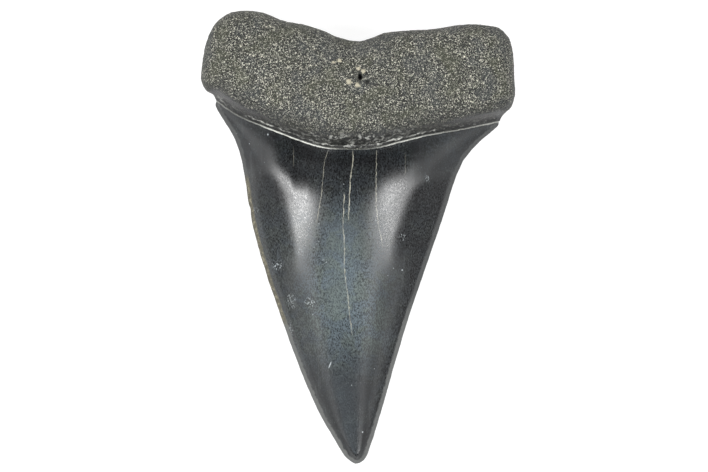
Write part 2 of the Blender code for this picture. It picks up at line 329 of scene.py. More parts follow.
@dataclass(frozen=True)
class CrownForm:
    """The lingual face of the crown: a low arched panel, steeper flanks and a narrow bevel at each edge."""

    shares: tuple = (0.0, 0.06, 0.14, 0.22, 0.3, 0.4, 0.5, 0.6, 0.7, 0.85, 0.95, 1.0)
    rises: tuple = (4.4, 5.3, 6.05, 6.0, 5.4, 4.4, 3.55, 3.05, 2.6, 1.8, 1.35, 1.15)
    turn_shares: tuple = (0.0, 0.06, 0.16, 0.3, 0.5, 1.0)
    left_turns: tuple = (0.94, 0.9, 0.6, 0.44, 0.46, 0.44)
    right_turns: tuple = (0.92, 0.82, 0.6, 0.46, 0.46, 0.42)
    turn_width: float = 0.25
    crest_offset: float = 0.08
    crest_width: float = 0.17
    crest_from: Place = (0.32, 0.5)
    crest_to: Place = (0.93, 1.0)
    steps: tuple = (0.35, 0.35, 0.38, 0.55, 0.68, 0.74)
    bevel_width: float = 0.5
    bevel_share: float = 0.25
    bevel_slope: float = 1.3
    ridge_softness: float = 0.05
    fold: tuple = (0.13, (-7.0, 8.0), (1.3, 4.4))

    def fallen(self, across: np.ndarray, turn: np.ndarray, step: np.ndarray) -> np.ndarray:
        """How far the surface has fallen from the middle, before it is scaled to the blade's height.

        Args:
            across: Distance from the middle, 0 to 1.
            turn: Where the panel turns into the flank.
            step: How steep the flank is, 0 to 1.

        Returns:
            The fall at each point.
        """
        arch = np.minimum(across, turn) ** 2 / (2 * turn) + np.maximum(across - turn, 0)
        u = np.clip((across - turn) / self.turn_width, 0, 1)
        flank = self.turn_width * (u**3 - u**4 / 2) + np.maximum(across - turn - self.turn_width, 0)
        return (1 - step) * arch + step * flank

    def turn_at(self, across: np.ndarray, share: np.ndarray) -> np.ndarray:
        """Finds where the panel turns into the flank.

        Args:
            across: Place across the blade, whose sign picks the side.
            share: Place along the blade, 0 at the neck and 1 at the tip.

        Returns:
            The turn's distance from the middle, 0 to 1.
        """
        left = eased(share, self.turn_shares, self.left_turns)
        right = eased(share, self.turn_shares, self.right_turns)
        return np.where(across < 0, left, right)

    def crest(self, across: np.ndarray, share: np.ndarray) -> np.ndarray:
        """Covers the two worn crests between panel and flanks, in the lower part of the blade.

        Args:
            across: Place across the blade, -1 to 1.
            share: Place along the blade, 0 at the neck and 1 at the tip.

        Returns:
            The cover, 0 to 1.
        """
        middle = self.turn_at(across, share) + self.crest_offset
        stretch = smooth_step(*self.crest_from, share) * (1 - smooth_step(*self.crest_to, share))
        return bell(np.abs(across), middle, self.crest_width) * stretch

    def section(self, across: np.ndarray, share: np.ndarray) -> np.ndarray:
        """Height across the blade.

        Args:
            across: Place between the bevels, -1 to 1.
            share: Place along the blade, 0 at the neck and 1 at the tip.

        Returns:
            1 in the middle and 0 at the bevels.
        """
        turn = self.turn_at(across, share)
        step = eased(share, self.turn_shares, self.steps)
        return 1 - self.fallen(np.abs(across), turn, step) / self.fallen(np.ones_like(turn), turn, step)

    def over_rim(self, spots: Spots, hollow: np.ndarray) -> np.ndarray:
        """Height over the cutting edge.

        Args:
            spots: The face's points.
            hollow: Share of its height that the crown loses at each.

        Returns:
            The height over the rim at each point, in metres.
        """
        share = np.clip(spots.station - 1, 0, 1)
        width = np.minimum(self.bevel_width * MM, self.bevel_share * spots.half)
        bevel = self.bevel_slope * spots.depth
        bevel_height = self.bevel_slope * width
        between = np.clip(spots.across / (1 - width / np.maximum(spots.half, TINY)), -1, 1)
        middle = MM * eased(share, self.shares, self.rises)
        lens = bevel_height + (middle - bevel_height) * self.section(between, share)
        drop, at, reach = self.fold
        lens -= drop * MM * mound(spots.xy, at, reach)
        lens *= 1 - hollow
        gap = lens - bevel
        over = 0.5 * (lens + bevel - np.sqrt(gap**2 + (self.ridge_softness * MM) ** 2))
        return np.where(spots.depth <= 0, 0.0, np.maximum(over, 0.0))


@dataclass(frozen=True)
class NeckForm:
    """The neck on the lingual face: the enamel's raised lip, a groove, a torn band and the crown's hollow."""

    ledge: tuple = (0.45, 1.25)
    groove: tuple = (0.18, 0.35, 0.4)
    lip: tuple = (0.16, 0.3)
    hollow: tuple = (0.12, 0.5)
    hollow_sides: tuple = (2.0, 8.0)
    hollow_reach: tuple = (6.5, 1.0)
    fade: float = 1.2
    band_middle: float = 1.7
    band_side: float = 0.9
    band_reach: float = 13.0
    band_weakest: float = 0.4
    band_centre: float = -0.5
    band_start: Place = (0.1, 0.4)
    band_end: Place = (0.7, 1.25)

    def on_root(self, past_neck: np.ndarray) -> np.ndarray:
        """0 on the crown's side of the ledge and 1 on the root."""
        return smooth_step(self.ledge[0] * MM, self.ledge[1] * MM, past_neck)

    def line(self, depth: np.ndarray, past_neck: np.ndarray) -> np.ndarray:
        """Height of the enamel's lip and of the groove beside it, across the neck line.

        Args:
            depth: Way in from the rim in metres.
            past_neck: How far each point is past the neck line, in metres.

        Returns:
            What they add to the height, in metres.
        """
        past = past_neck / MM
        drop, at, width = self.groove
        rise, lip_width = self.lip
        line = rise * bell(past, 0.0, lip_width) - drop * bell(past, at, width)
        return MM * line * smooth_step(0, self.fade * MM, depth)

    def hollow_at(self, xy: np.ndarray, past_neck: np.ndarray) -> np.ndarray:
        """Hollows the crown towards the neck, most at the sides.

        Args:
            xy: Points in metres.
            past_neck: How far each point is past the neck line, in metres.

        Returns:
            The share of its height that the crown loses at each point.
        """
        past = past_neck / MM
        middle, side = self.hollow
        share = middle + (side - middle) * smooth_step(*self.hollow_sides, np.abs(xy[:, 0]) / MM)
        on_crown, on_root = self.hollow_reach
        return share * (1 - np.clip(np.abs(past) / np.where(past < 0, on_crown, on_root), 0, 1)) ** 2

    def band(self, xy: np.ndarray, past_neck: np.ndarray) -> np.ndarray:
        """Places the torn band, which is widest in the middle.

        Args:
            xy: Points in metres.
            past_neck: How far each point is past the neck line, in metres.

        Returns:
            The band's strength, 0 to 1.
        """
        middle = bell(xy[:, 0] / MM, self.band_centre, self.band_reach / 2)
        width = (self.band_side + (self.band_middle - self.band_side) * middle) * MM
        strength = self.band_weakest + (1 - self.band_weakest) * middle
        start, full = self.band_start
        inside = smooth_step(start * MM, full * MM, past_neck)
        return strength * inside * (1 - smooth_step(*self.band_end, past_neck / width))


@dataclass(frozen=True)
class LabialForm:
    """The lower face, flat where the tooth lies on its crown and on its lobes."""

    edge_reach: float = 3.0
    rounding: float = 3.6
    step: float = 0.35
    step_width: float = 2.4
    ledge: float = 0.5
    notch: tuple = (0.9, (0.0, 23.6), (7.0, 5.5))
    band_strength: float = 0.5
    band_start: float = 0.1
    band_end: Place = (0.3, 0.8)

    def band(self, past_neck: np.ndarray) -> np.ndarray:
        """Strength of the weaker torn band along the neck of this face."""
        inside = smooth_step(-self.band_start * MM, self.band_start * MM, past_neck)
        return self.band_strength * inside * (1 - smooth_step(*self.band_end, past_neck / MM))


class Face(Enum):
    """The two faces of the tooth."""

    LINGUAL = "upper"
    LABIAL = "lower"


@dataclass
class Sheet:
    """One face of the tooth as a grid of points, with what the finishes read at each point."""

    rows: list[np.ndarray]
    masks: dict[str, list[np.ndarray]]


@dataclass
class ToothForm:
    """The whole tooth's form: plan, rim and both faces."""

    plan: ToothPlan = field(default_factory=ToothPlan)
    root: RootForm = RootForm()
    crown: CrownForm = CrownForm()
    neck: NeckForm = NeckForm()
    labial: LabialForm = LabialForm()
    rim_stations: tuple = (0.0, 0.55, 0.85, 1.0, 1.12, 1.5, 2.0)
    rim_heights: tuple = (4.9, 4.7, 3.4, 2.4, 1.6, 1.45, 1.65)
    columns: int = 260
    bevel_columns: int = 12
    column_gathering: float = 1.15
    root_rows: int = 95
    crown_rows: int = 150
    row_gathering: tuple = (1.0, 0.55)
    rim_share: float = 0.35
    rim_gathering: float = 1.5
    band_fade: float = 0.6
    past_kept: Place = (-8, 4)
    depth_kept: float = 4

    def shares_across(self, width: float) -> np.ndarray:
        """Spreads a row's points, close together at the rim and evenly between.

        Args:
            width: The row's width in metres.

        Returns:
            Each point's share across the row, 0 to 1.
        """
        half = width / 2
        bevel = min(self.crown.bevel_width * MM, self.rim_share * half)
        outer = bevel * (np.arange(self.bevel_columns) / self.bevel_columns) ** self.rim_gathering
        inner_count = self.columns // 2 - self.bevel_columns
        inner = bevel + (half - bevel) * (np.arange(inner_count + 1) / inner_count) ** self.column_gathering
        shares = np.concatenate([outer, inner]) / max(width, TINY)
        return np.concatenate([shares, 1 - shares[-2::-1]])

    def shares_along(self, count: int, gathering: float) -> np.ndarray:
        """Shares along a patch, gathered at both ends."""
        t = np.arange(count + 1) / count
        return (1 - gathering) * t + gathering * (0.5 - 0.5 * np.cos(np.pi * t))

    def neck_path(self, face: Face) -> np.ndarray:
        """The neck line of this face as a polyline in metres."""
        return PlanCurve(self.plan.lingual_neck if face is Face.LINGUAL else self.plan.labial_neck).path()

    def row_plan(self, face: Face) -> list[tuple[bool, float, np.ndarray, np.ndarray]]:
        """Lays out the rows of one face in the plan view.

        Args:
            face: The face to lay out.

        Returns:
            For each row whether it is on the root, its share along that patch, its shares across and its points.
        """
        plan = self.plan
        neck = self.neck_path(face)
        rows = []
        for on_root, count, gathering in (
            (True, self.root_rows, self.row_gathering[0]),
            (False, self.crown_rows, self.row_gathering[1]),
        ):
            sides = plan.root_sides if on_root else plan.crown_sides
            far = plan.basal_margin if on_root else neck
            for w in self.shares_along(count, gathering)[0 if on_root else 1 :]:
                left, right = (along(side, w) for side in sides)
                s = self.shares_across(float(np.linalg.norm(right - left)))
                if face is Face.LABIAL and w > 0:
                    s = s[::2]
                c = s[:, None]
                xy = (1 - c) * left + c * right
                xy += (1 - w) * (along(far, s) - ((1 - c) * far[0] + c * far[-1]))
                if on_root:
                    xy += w * (along(neck, s) - ((1 - c) * neck[0] + c * neck[-1]))
                rows.append((on_root, float(w), s, xy))
        return rows

    def sheet(self, face: Face) -> Sheet:
        """Builds one face.

        Args:
            face: The face to build.

        Returns:
            Its grid of points, and the masks for the finishes.
        """
        rows = self.row_plan(face)
        ends = np.cumsum([len(s) for _, _, s, _ in rows])[:-1]
        xy = np.vstack([row[3] for row in rows])
        across = np.concatenate([2 * s - 1 for _, _, s, _ in rows])
        sign = np.concatenate([np.full(len(s), 1.0 if on_root else -1.0) for on_root, _, s, _ in rows])
        station = np.concatenate([np.full(len(s), w if on_root else 1 + w) for on_root, w, s, _ in rows])
        half = np.concatenate([np.full(len(s), np.linalg.norm(line[-1] - line[0]) / 2) for _, _, s, line in rows])
        depth = distance_to(self.plan.outline, xy)
        depth[(np.abs(across) == 1) | (station == 0) | (station == 2)] = 0
        past_neck = distance_to(self.neck_path(face), xy) * sign
        rim = MM * eased(station, self.rim_stations, self.rim_heights)
        spots = Spots(xy, across, station, half, depth, past_neck, rim)
        if face is Face.LINGUAL:
            z = self.lingual_height(spots)
            band = self.neck.band(xy, past_neck) * smooth_step(0, self.band_fade * MM, depth)
        else:
            z = self.labial_height(spots)
            band = self.labial.band(past_neck)
        on_top = face is Face.LINGUAL
        masks = {
            "past": np.clip(past_neck / MM, *self.past_kept),
            "depth": np.clip(depth / MM, 0, self.depth_kept),
            "band": band,
            "crest": self.crown.crest(across, station - 1) * on_top,
            "crumb": self.root.cover(xy, self.root.crumbs, self.root.crumb_spread) * on_top,
            "pit": self.root.cover(xy, self.root.pits, self.root.pit_spread) * on_top,
        }
        xyz = np.column_stack([xy - self.plan.middle, z])
        return Sheet(np.split(xyz, ends), {name: np.split(values, ends) for name, values in masks.items()})

    def lingual_height(self, spots: Spots) -> np.ndarray:
        """Works out the upper face.

        Args:
            spots: The face's points.

        Returns:
            The height at each, in metres.
        """
        dome = self.root.dome(spots.depth, self.root.rounding)
        root = spots.rim + (self.root.top(spots.xy, spots.past_neck) - spots.rim) * dome
        crown = spots.rim + self.crown.over_rim(spots, self.neck.hollow_at(spots.xy, spots.past_neck))
        on_root = self.neck.on_root(spots.past_neck)
        return on_root * root + (1 - on_root) * crown + self.neck.line(spots.depth, spots.past_neck)

    def labial_height(self, spots: Spots) -> np.ndarray:
        """Works out the lower face.

        Args:
            spots: The face's points.

        Returns:
            The height at each, in metres.
        """
        form = self.labial
        crown = spots.rim * (1 - np.clip(spots.depth / (form.edge_reach * MM), 0, 1)) ** 2
        root = spots.rim * (1 - self.root.dome(spots.depth, form.rounding))
        on_root = smooth_step(0.0, form.ledge * MM, spots.past_neck)
        step = form.step * MM * (1 - np.clip(spots.past_neck / (form.step_width * MM), 0, 1)) ** 2
        rise, at, reach = form.notch
        step += rise * MM * mound(spots.xy, at, reach)
        inside = smooth_step(0, self.neck.fade * MM, spots.depth)
        return on_root * (root + inside * step) + (1 - on_root) * crown


@dataclass
class ToothMesh:
    """Joins the two sheets at their rim into one closed mesh, roughens it and gives it its masks and layout."""

    form: ToothForm = field(default_factory=ToothForm)
    bone_relief: tuple = ((0.05, 0.62, 3, 3.1), (0.022, 0.27, 2, 8.7))
    crinkle_relief: tuple = (0.22, 0.65, 3, 5.5)
    edge_relief: tuple = (0.035, 0.9, 3, 1.7)
    chip_relief: tuple = (0.2, 1.3, 3, 4.2)
    chip_limits: Place = (0.12, 0.6)
    chip_stretch: Place = (-9.0, 6.0)
    chip_fades: Place = (2.0, 1.5)
    lying: Place = (0.05, 0.8)
    bone_from: Place = (0.05, 0.3)
    relief_below: float = 0.25
    smooth_sides: Place = (9.5, 12.5)
    smooth_reach: Place = (0.9, 1.7)
    smoothness: float = 0.8
    worn_reach: Place = (0.38, 0.55)
    least: float = 0.01
    layout_gap: float = 1.5
    layout_margin: float = 0.01

    def build(self) -> bpy.types.Object:
        """Makes the tooth's object, still without a finish.

        Returns:
            The object, linked to the scene.
        """
        upper, lower = self.form.sheet(Face.LINGUAL), self.form.sheet(Face.LABIAL)
        upper_ids, lower_ids, points, masks = self.number(upper, lower)
        faces, layout = self.faces(upper, lower, upper_ids, lower_ids)
        points = self.roughened(points, masks, faces)
        mesh = bpy.data.meshes.new("fossil_tooth")
        mesh.from_pydata(points.tolist(), [], faces)
        for name, values in masks.items():
            made = mesh.attributes.new(name, "FLOAT", "POINT")
            made.data.foreach_set("value", values.astype(np.float32))
        uv = mesh.uv_layers.new(name="OFBake")
        uv.data.foreach_set("uv", layout.astype(np.float32).ravel())
        mesh.shade_smooth()
        mesh.update()
        obj = bpy.data.objects.new("fossil_tooth", mesh)
        bpy.context.scene.collection.objects.link(obj)
        return obj

    def number(self, upper: Sheet, lower: Sheet) -> tuple[list, list, np.ndarray, dict]:
        """Numbers every point once, with the rim shared by both sheets.

        Args:
            upper: The lingual sheet.
            lower: The labial sheet, with half as many columns.

        Returns:
            Point numbers by row for each sheet, all points, and the masks at them.
        """
        points, masks, upper_ids, lower_ids = [], {name: [] for name in upper.masks}, [], []
        count = 0
        last = len(upper.rows) - 1
        for sheet, ids in ((upper, upper_ids), (lower, lower_ids)):
            for r, row in enumerate(sheet.rows):
                if r == last:
                    own = slice(0, 1) if sheet is upper else slice(0, 0)
                elif sheet is upper:
                    own = slice(0, len(row))
                else:
                    own = slice(0, 0) if r == 0 else slice(1, len(row) - 1)
                fresh = row[own]
                numbers = np.arange(count, count + len(fresh))
                count += len(fresh)
                points.append(fresh)
                for name in masks:
                    masks[name].append(sheet.masks[name][r][own])
                if sheet is upper:
                    ids.append(numbers)
                elif r in (0, last):
                    ids.append(upper_ids[r])
                else:
                    ids.append(np.concatenate([upper_ids[r][:1], numbers, upper_ids[r][-1:]]))
        return upper_ids, lower_ids, np.vstack(points), {k: np.concatenate(v) for k, v in masks.items()}

    def faces(self, upper: Sheet, lower: Sheet, upper_ids: list, lower_ids: list) -> tuple[list, np.ndarray]:
        """Joins neighbouring rows with faces.

        Args:
            upper: The lingual sheet.
            lower: The labial sheet.
            upper_ids: Point numbers by row of the lingual sheet.
            lower_ids: Point numbers by row of the labial sheet.

        Returns:
            All faces with their corners facing out, and the flat layout's place for each corner.
        """
        faces, corners = [], []
        upper_flat, lower_flat = self.layouts(upper, lower)
        for ids, flat, up in ((upper_ids, upper_flat, True), (lower_ids, lower_flat, False)):
            for r in range(len(ids) - 1):
                for face in self.strip(len(ids[r]), len(ids[r + 1])):
                    face = face if up else face[::-1]
                    faces.append([int(ids[r + a][k]) for a, k in face])
                    corners.extend(flat[r + a][k] for a, k in face)
        return faces, np.array(corners)

    def strip(self, first: int, second: int) -> list[tuple]:
        """Faces between two rows, as (row, column) corners running anticlockwise seen from above.

        Args:
            first: Number of points in the upper row.
            second: Number in the next row: as many, half as many, or one at the tip.

        Returns:
            The faces' corners.
        """
        if second == 1:
            return [((0, k), (1, 0), (0, k + 1)) for k in range(first - 1)]
        if first == second:
            return [((0, k), (1, k), (1, k + 1), (0, k + 1)) for k in range(first - 1)]
        made = []
        for k in range(second - 1):
            made.append(((0, 2 * k), (1, k), (0, 2 * k + 1)))
            made.append(((0, 2 * k + 1), (1, k), (1, k + 1)))
            made.append(((0, 2 * k + 1), (1, k + 1), (0, 2 * k + 2)))
        return made

    def layouts(self, upper: Sheet, lower: Sheet) -> tuple[list, list]:
        """Unrolls both sheets into one square, the lower one turned round so that the two crowns nest.

        Args:
            upper: The lingual sheet.
            lower: The labial sheet.

        Returns:
            The rows of each sheet in the flat layout.
        """
        flats = []
        for sheet in (upper, lower):
            middles = np.array([row[len(row) // 2] for row in sheet.rows])
            down = np.concatenate([[0.0], np.cumsum(np.linalg.norm(np.diff(middles, axis=0), axis=1))])
            flat = []
            for row, v in zip(sheet.rows, down):
                u = np.concatenate([[0.0], np.cumsum(np.linalg.norm(np.diff(row, axis=0), axis=1))])
                u += row[len(row) // 2, 0] - u[len(row) // 2]
                flat.append(np.column_stack([u, np.full(len(u), -v)]))
            flats.append(flat)
        first, second = flats
        height = max(-first[-1][0, 1], -second[-1][0, 1])
        second = [np.column_stack([-row[:, 0], -height - row[:, 1]]) for row in second]
        depths = [-row[0, 1] for row in second[::-1]]
        left_ends = [row[:, 0].min() for row in second[::-1]]
        apart = max(row[-1, 0] - np.interp(-row[0, 1], depths, left_ends) for row in first) + self.layout_gap * MM
        second = [row + np.array([apart, 0.0]) for row in second]
        every = np.vstack([*first, *second])
        low, size = every.min(0), (every.max(0) - every.min(0)).max()
        share = 1 - 2 * self.layout_margin
        return tuple([self.layout_margin + share * (row - low) / size for row in rows] for rows in (first, second))

    def roughened(self, points: np.ndarray, masks: dict, faces: list) -> np.ndarray:
        """Pushes the points out and in along their normals: grainy bone, torn neck, worn and chipped edge.

        Args:
            points: All points in metres.
            masks: The masks at them.
            faces: The faces between them.

        Returns:
            The moved points.
        """
        draft = bpy.data.meshes.new("draft")
        draft.from_pydata(points.tolist(), [], faces)
        draft.update()
        normals = np.empty(len(points) * 3, np.float32)
        draft.vertex_normals.foreach_get("vector", normals)
        normals = normals.reshape(-1, 3).astype(float)
        bpy.data.meshes.remove(draft)
        lying = smooth_step(self.lying[0] * MM, self.lying[1] * MM, points[:, 2])
        push = self.bone_push(points, masks) * (self.relief_below + (1 - self.relief_below) * lying)
        torn = masks["band"] > self.least
        amount, size, octaves, seed = self.crinkle_relief
        push[torn] += amount * MM * masks["band"][torn] * fractal(points[torn], size, octaves, seed)
        edge = (1 - smooth_step(*self.worn_reach, masks["depth"])) * (masks["past"] < 0)
        on_edge = edge > self.least
        push[on_edge] += self.edge_push(points[on_edge]) * edge[on_edge] * lying[on_edge]
        made = points + push[:, None] * normals
        made[:, 2] = np.maximum(made[:, 2], 0.0)
        return made

    def bone_push(self, points: np.ndarray, masks: dict) -> np.ndarray:
        """Relief of the bone, weaker on the smooth patches beside the neck.

        Args:
            points: All points in metres.
            masks: The masks at them.

        Returns:
            How far each point moves out, in metres.
        """
        bone = smooth_step(*self.bone_from, masks["past"])
        beside = smooth_step(*self.smooth_sides, np.abs(points[:, 0]) / MM)
        bone *= 1 - self.smoothness * beside * (1 - smooth_step(*self.smooth_reach, masks["past"]))
        on_bone = bone > 0
        push = np.zeros(len(points))
        for amount, size, octaves, seed in self.bone_relief:
            push[on_bone] += amount * MM * fractal(points[on_bone], size, octaves, seed)
        return push * bone

    def edge_push(self, rim: np.ndarray) -> np.ndarray:
        """Wear of the cutting edges, with chips on a stretch of the left one.

        Args:
            rim: Points at the edges in metres.

        Returns:
            How far each point moves out, in metres.
        """
        amount, size, octaves, seed = self.edge_relief
        wear = amount * MM * fractal(rim, size, octaves, seed)
        amount, size, octaves, seed = self.chip_relief
        shallowest, deepest = self.chip_limits
        chips = np.clip(fractal(rim, size, octaves, seed) - shallowest, 0, deepest)
        (low, high), (below, above) = self.chip_stretch, self.chip_fades
        stretch = smooth_step(low - below, low, rim[:, 1] / MM)
        stretch *= 1 - smooth_step(high, high + above, rim[:, 1] / MM)
        return wear - amount * MM * chips * stretch * (rim[:, 0] < 0)


class Graph:
    """A material's node tree, with one short method for each kind of node."""

    CURVE_HEIGHT = 20.0

    def __init__(self, material: bpy.types.Material) -> None:
        """Starts from the material's own Principled shader, and makes the coordinates in millimetres.

        Args:
            material: The material to dress.
        """
        material.use_nodes = True
        self.tree = material.node_tree
        self.shader = self.tree.nodes["Principled BSDF"]
        scaled = self.node("ShaderNodeVectorMath", operation="SCALE")
        self.feed(scaled.inputs[0], self.node("ShaderNodeTexCoord").outputs["Object"])
        self.feed(scaled.inputs["Scale"], 1 / MM)
        self.place = scaled.outputs[0]
        split = self.node("ShaderNodeSeparateXYZ")
        self.feed(split.inputs[0], self.place)
        self.x, self.y, self.z = split.outputs

    def node(self, kind: str, **settings: str) -> bpy.types.Node:
        """Adds a node.

        Args:
            kind: The node's type.
            settings: Its properties and their values.

        Returns:
            The new node.
        """
        made = self.tree.nodes.new(kind)
        for name, value in settings.items():
            setattr(made, name, value)
        return made

    def feed(self, socket: Socket, value: Value) -> None:
        """Links a socket's value in, or sets a plain one.

        Args:
            socket: The input to feed.
            value: Another node's output, a number or a colour.
        """
        if isinstance(value, Socket):
            self.tree.links.new(value, socket)
        elif isinstance(value, tuple) and len(value) == 3 and len(socket.default_value) == 4:
            socket.default_value = (*value, 1.0)
        else:
            socket.default_value = value

    def math(self, operation: str, *values: Value) -> Socket:
        """Adds a Math node.

        Args:
            operation: What it does.
            values: What it works on.

        Returns:
            Its result.
        """
        made = self.node("ShaderNodeMath", operation=operation)
        for socket, value in zip(made.inputs, values):
            self.feed(socket, value)
        return made.outputs[0]

    def times(self, *values: Value) -> Socket:
        """Works out a product.

        Args:
            values: Two or more values.

        Returns:
            The product of all of them.
        """
        made = values[0]
        for value in values[1:]:
            made = self.math("MULTIPLY", made, value)
        return made

    def plus(self, *values: Value) -> Socket:
        """Works out a sum.

        Args:
            values: Two or more values.

        Returns:
            The sum of all of them.
        """
        made = values[0]
        for value in values[1:]:
            made = self.math("ADD", made, value)
        return made

    def span(self, value: Value, low: float, high: float, start: float = 0.0, end: float = 1.0) -> Socket:
        """Maps low to start and high to end on a smooth step, and keeps to those outside.

        Args:
            value: What is mapped.
            low: Value that gives start.
            high: Value that gives end.
            start: Result up to low.
            end: Result from high on.

        Returns:
            The result.
        """
        made = self.node("ShaderNodeMapRange", interpolation_type="SMOOTHSTEP")
        for socket, given in zip(made.inputs, (value, low, high, start, end)):
            self.feed(socket, given)
        return made.outputs[0]

    def mask(self, name: str) -> Socket:
        """One of the mesh's masks."""
        return self.node("ShaderNodeAttribute", attribute_name=name).outputs["Fac"]

    def stretched(self, *factors: float) -> Socket:
        """Scales the coordinates.

        Args:
            factors: One factor for each axis.

        Returns:
            The scaled coordinates.
        """
        made = self.node("ShaderNodeVectorMath", operation="MULTIPLY")
        self.feed(made.inputs[0], self.place)
        made.inputs[1].default_value = factors
        return made.outputs[0]

    def noise(
        self, scale: float, detail: float, roughness: float, distortion: float = 0.0, place: Socket | None = None
    ) -> Socket:
        """Adds fractal noise.

        Args:
            scale: Lumps per millimetre.
            detail: Number of finer layers.
            roughness: Strength of each finer layer.
            distortion: How far the pattern is drawn about.
            place: Coordinates, where they aren't the plain ones.

        Returns:
            The noise, 0 to 1.
        """
        made = self.node("ShaderNodeTexNoise")
        self.feed(made.inputs["Vector"], self.place if place is None else place)
        for name, value in (
            ("Scale", scale), ("Detail", detail), ("Roughness", roughness), ("Distortion", distortion)
        ):
            self.feed(made.inputs[name], value)
        return made.outputs["Fac"]

    def cells(self, scale: float) -> Socket:
        """Adds a pattern of cells.

        Args:
            scale: Cells per millimetre.

        Returns:
            The distance from the nearest cell's middle.
        """
        made = self.node("ShaderNodeTexVoronoi")
        self.feed(made.inputs["Vector"], self.place)
        self.feed(made.inputs["Scale"], scale)
        return made.outputs["Distance"]

    def mix(self, share: Value, first: Value, second: Value) -> Socket:
        """Mixes two numbers.

        Args:
            share: The second one's share.
            first: The number at share 0.
            second: The number at share 1.

        Returns:
            The number between them.
        """
        made = self.node("ShaderNodeMix", data_type="FLOAT")
        for socket, value in zip((made.inputs[0], made.inputs[2], made.inputs[3]), (share, first, second)):
            self.feed(socket, value)
        return made.outputs[0]

    def paint(self, share: Value, first: Value, second: Value, how: str = "MIX") -> Socket:
        """Lays one colour over another.

        Args:
            share: How much the second one covers.
            first: The colour below.
            second: The colour on top.
            how: The way they blend.

        Returns:
            The blended colour.
        """
        made = self.node("ShaderNodeMix", data_type="RGBA", blend_type=how)
        for socket, value in zip((made.inputs[0], made.inputs[6], made.inputs[7]), (share, first, second)):
            self.feed(socket, value)
        return made.outputs[2]

    def ramp(self, value: Value, stops: tuple) -> Socket:
        """Reads a colour from stops.

        Args:
            value: Where to read.
            stops: A place and a colour for each.

        Returns:
            The colour.
        """
        made = self.node("ShaderNodeValToRGB")
        elements = made.color_ramp.elements
        while len(elements) < len(stops):
            elements.new(0.5)
        for element, (place, colour) in zip(elements, stops):
            element.position = place
            element.color = (*colour, 1.0)
        self.feed(made.inputs[0], value)
        return made.outputs[0]

    def curve(self, value: Value, points: Points, low: float, high: float) -> Socket:
        """Reads a smooth curve.

        Args:
            value: Where to read.
            points: What the curve runs through.
            low: Its least x.
            high: Its greatest x.

        Returns:
            The curve's height there.
        """
        made = self.node("ShaderNodeFloatCurve")
        mapping = made.mapping
        mapping.clip_min_x, mapping.clip_max_x = low, high
        mapping.clip_min_y, mapping.clip_max_y = -self.CURVE_HEIGHT, self.CURVE_HEIGHT
        line = mapping.curves[0]
        while len(line.points) < len(points):
            line.points.new(0.0, 0.0)
        for point, place in zip(line.points, points):
            point.location = place
        mapping.update()
        self.feed(made.inputs["Value"], value)
        return made.outputs[0]


@dataclass(frozen=True)
class Surface:
    """What a finish gives for the one shader: colour, roughness and height in metres."""

    colour: Socket
    roughness: Socket
    height: Socket


@dataclass(frozen=True)
class Crack:
    """A hairline crack down the blade, filled with pale sediment. Its points are millimetres, from the top down."""

    path: Points
    strength: float = 1.0
    half_width: float = 0.05
    fade: float = 0.8

    def mask(self, graph: Graph, wander: Socket) -> Socket:
        """How much of the surface the crack's filling covers.

        Args:
            graph: The material's nodes.
            wander: Noise between 0 and 1 that makes the line uneven.

        Returns:
            The cover, 0 to 1.
        """
        points = tuple((down, across) for across, down in reversed(self.path))
        low, high = points[0][0], points[-1][0]
        middle = graph.curve(graph.y, points, low - 1, high + 1)
        middle = graph.plus(middle, graph.span(wander, 0.3, 0.7, -0.05, 0.05))
        off = graph.math("ABSOLUTE", graph.math("SUBTRACT", graph.x, middle))
        line = graph.span(off, self.half_width * 0.5, self.half_width * 1.5, 1.0, 0.0)
        above = graph.span(graph.y, low - 0.2, low + self.fade, 0.0, 1.0)
        below = graph.span(graph.y, high - 0.1, high + 0.3, 1.0, 0.0)
        worn = graph.span(wander, 0.35, 0.62, 0.3, 1.0)
        return graph.times(line, above, below, worn, self.strength)


@dataclass(frozen=True)
class Scuff:
    """A small patch of scratches or dust on the enamel, in millimetres and degrees."""

    at: Place
    reach: Place
    turn: float = 0.0
    strength: float = 1.0
    solid: bool = False

    def mask(self, graph: Graph, grain: Socket) -> Socket:
        """How much of the surface the scuff covers.

        Args:
            graph: The material's nodes.
            grain: Noise that gives the scuff its pattern, unless it is solid.

        Returns:
            The cover, 0 to 1.
        """
        c, s = math.cos(math.radians(self.turn)), math.sin(math.radians(self.turn))
        dx, dy = (graph.math("SUBTRACT", way, middle) for way, middle in zip((graph.x, graph.y), self.at))
        u = graph.plus(graph.times(dx, c / self.reach[0]), graph.times(dy, s / self.reach[0]))
        v = graph.plus(graph.times(dx, -s / self.reach[1]), graph.times(dy, c / self.reach[1]))
        r2 = graph.plus(graph.times(u, u), graph.times(v, v))
        near = graph.span(r2, 0.25, 1.0, self.strength, 0.0)
        return near if self.solid else graph.times(near, graph.span(grain, 0.52, 0.66))


